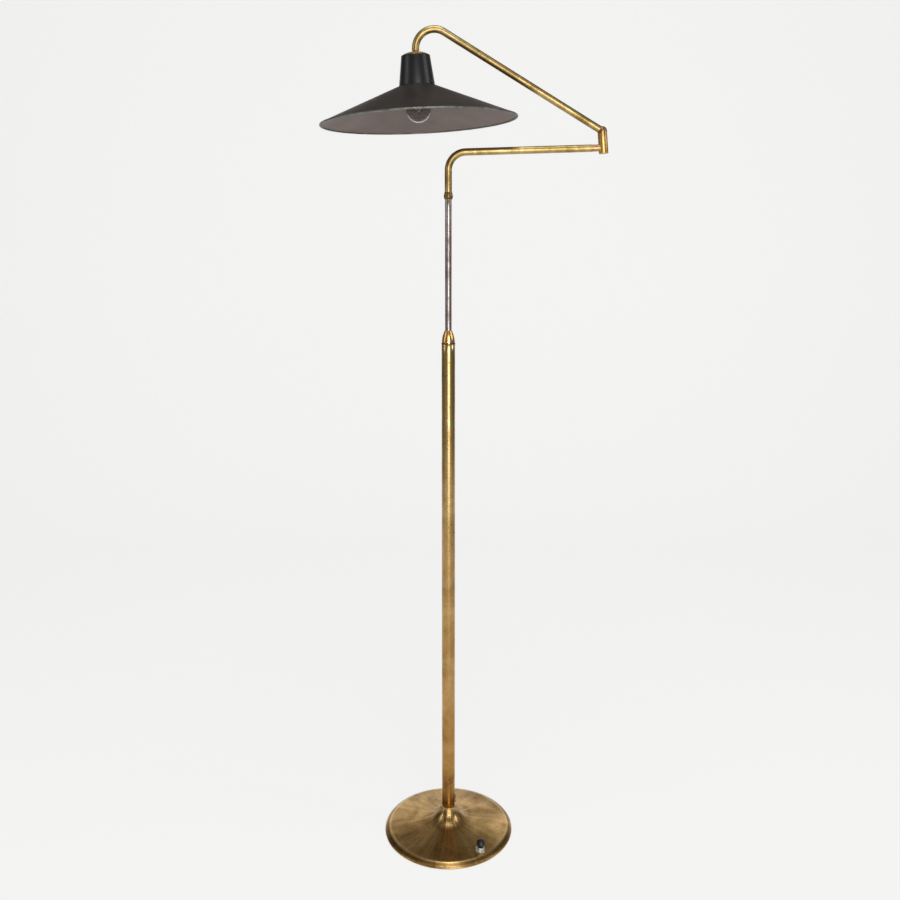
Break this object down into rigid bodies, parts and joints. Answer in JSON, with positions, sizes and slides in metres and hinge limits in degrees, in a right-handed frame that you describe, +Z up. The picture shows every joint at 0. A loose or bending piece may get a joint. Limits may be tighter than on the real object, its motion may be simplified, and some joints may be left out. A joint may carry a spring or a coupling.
{
  "type": "bridge floor lamp",
  "caption": "Brass floor lamp: round domed base, sliding stem, jointed swinging arm and wide shallow metal shade hung from an arched hook.",
  "frame": {"origin": "centre of the underside of the base, on the floor, under the stem's axis", "axes": "+Z up along the stem; +X from the stem towards the elbow of the arm; -Y towards the viewer of the picture"},
  "size_m": [0.5149, 0.3532, 1.5303],
  "materials": {
    "aged_brass": "aged, lacquered, satin",
    "bright_brass": "bright, polished",
    "dark_brass": "dark, tarnished",
    "shade_paint": "dark bronze paint outside, satin",
    "neck_paint": "black, semi-gloss",
    "iron": "rough cast",
    "pad_rubber": "matt sheet",
    "zinc_steel": "zinc plated",
    "nickel": "nickel plated, bright",
    "black_plastic": "black, glossy",
    "black_moulding": "black, dull",
    "bush_plastic": "natural acetal",
    "holder_plastic": "black phenolic",
    "lamp_glass": "clear, thin",
    "lamp_metal": "plain"
  },
  "bodies": {
    "base": {"base_cover": "aged_brass", "base_weight": "iron", "base_pad": "pad_rubber", "foot_ring": "aged_brass", "stem_plug": "zinc_steel", "base_nipple": "zinc_steel", "base_washer": "zinc_steel", "base_nut": "zinc_steel", "cord_gland": "bright_brass", "gland_nut": "zinc_steel", "switch_bush": "nickel", "switch_nut": "nickel", "switch_body": "black_moulding", "outer_tube": "aged_brass", "guide_bush": "bush_plastic", "friction_collet": "bush_plastic", "cap_washer": "dark_brass"},
    "button": {"switch_button": "black_plastic"},
    "cap": {"cap_nut": "bright_brass"},
    "slider": {"inner_tube": "dark_brass", "stop_bush": "bush_plastic", "swivel_pin": "zinc_steel", "swivel_washer": "bush_plastic"},
    "lower_arm": {"arm_ferrule": "dark_brass", "ferrule_screw": "zinc_steel", "lower_arm_tube": "aged_brass", "elbow_sleeve": "bright_brass", "elbow_cap": "bright_brass"},
    "upper_arm": {"pivot_pin": "zinc_steel", "pivot_nut": "zinc_steel", "pivot_washer": "bright_brass", "elbow_knuckle": "aged_brass", "upper_arm_tube": "aged_brass"},
    "swivel": {"swivel_collar": "aged_brass", "ball_stud": "bright_brass"},
    "head": {"shade_cap": "aged_brass", "ball_seat": "zinc_steel", "neck_housing": "neck_paint", "shade_screws": "dark_brass", "holder_nipple": "zinc_steel", "lampholder_cap": "holder_plastic", "lampholder_body": "holder_plastic", "lampholder_ring": "holder_plastic", "contact_block": "holder_plastic", "thread_shell": "lamp_metal", "shade": "shade_paint", "bulb_glass": "lamp_glass", "bulb_cap": "lamp_metal", "bulb_stem": "lamp_glass", "bulb_filament": "lamp_metal"}
  },
  "joints": [
    {"name": "button_press", "type": "slide", "parent": "base", "child": "button", "axis": [-0.0906, 0.1275, -0.9877], "range_m": [0, 0.0035], "stiffness_N_per_m": 400, "springref_m": -0.001},
    {"name": "cap_turn", "type": "hinge", "parent": "base", "child": "cap", "pos_m": [0, 0, 0.98], "axis": [0, 0, 1], "range_deg": [0, 180]},
    {"name": "height_slide", "type": "slide", "parent": "base", "child": "slider", "axis": [0, 0, 1], "range_m": [-0.23, 0.16]},
    {"name": "arm_swivel", "type": "hinge", "parent": "slider", "child": "lower_arm", "pos_m": [0, 0, 1.235], "axis": [0, 0, 1], "range_deg": [-170, 170]},
    {"name": "elbow_swivel", "type": "hinge", "parent": "lower_arm", "child": "upper_arm", "pos_m": [0.277, 0, 1.32003], "axis": [-0.0872, 0, 0.9962], "range_deg": [-170, 170]},
    {"name": "head_swivel", "type": "hinge", "parent": "upper_arm", "child": "swivel", "pos_m": [-0.05772, 0, 1.48984], "axis": [0, 0, 1], "range_deg": [-170, 170]},
    {"name": "head_tilt", "type": "hinge", "parent": "swivel", "child": "head", "pos_m": [-0.05772, 0, 1.47774], "axis": [1, 0, 0], "range_deg": [-18, 18]}
  ]
}
